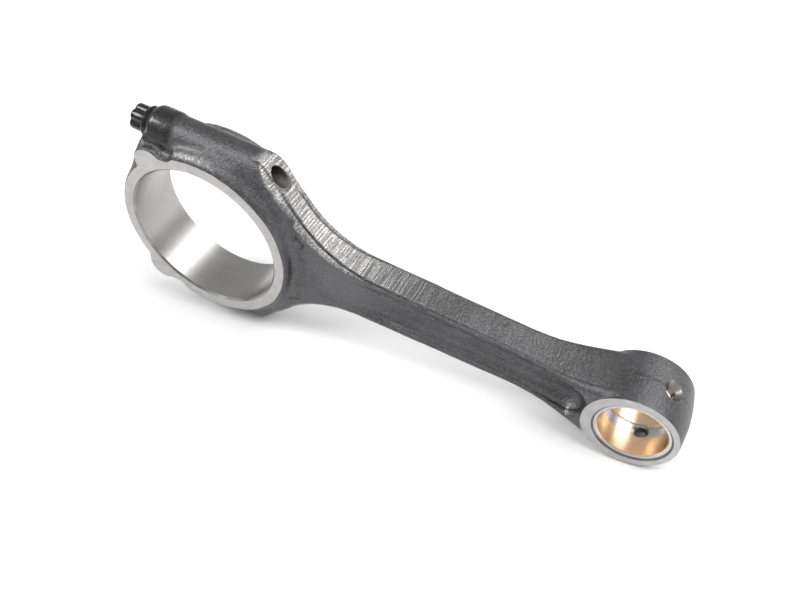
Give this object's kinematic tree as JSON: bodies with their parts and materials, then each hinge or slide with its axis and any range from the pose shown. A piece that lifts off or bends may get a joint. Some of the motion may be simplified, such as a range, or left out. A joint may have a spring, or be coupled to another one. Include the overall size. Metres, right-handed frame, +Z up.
{
  "type": "connecting rod",
  "caption": "Engine connecting rod with a forged I-section shank, a screwed-on bearing cap at the big end and a grooved bronze-lined bush in the small end.",
  "frame": {"origin": "centre of the crankpin bore, on the rod's middle plane", "axes": "+X along the rod from the big end to the small end, +Y along both bore axes, +Z up, at right angles to both; at rest the rod stands on edge with its upper cap screw at +Z"},
  "size_m": [0.2048, 0.0214, 0.0786],
  "materials": {
    "forged_steel": "dark shot-blasted steel forging with bright machined faces and bores",
    "black_screw_steel": "black phosphated and oiled",
    "bush_bronze": "burnished bronze lining on a steel back"
  },
  "bodies": {
    "rod": {"rod_body": "forged_steel", "small_end_bush": "bush_bronze"},
    "cap": {"bearing_cap": "forged_steel"},
    "screw_upper": {"cap_screw_upper": "black_screw_steel"},
    "screw_lower": {"cap_screw_lower": "black_screw_steel"}
  },
  "joints": [
    {"name": "cap_off", "type": "slide", "parent": "rod", "child": "cap", "axis": [-1, 0, 0], "range_m": [0, 0.06]},
    {"name": "screw_upper_out", "type": "slide", "parent": "cap", "child": "screw_upper", "axis": [-1, 0, 0], "range_m": [0, 0.045]},
    {"name": "screw_lower_out", "type": "slide", "parent": "cap", "child": "screw_lower", "axis": [-1, 0, 0], "range_m": [0, 0.045]}
  ]
}
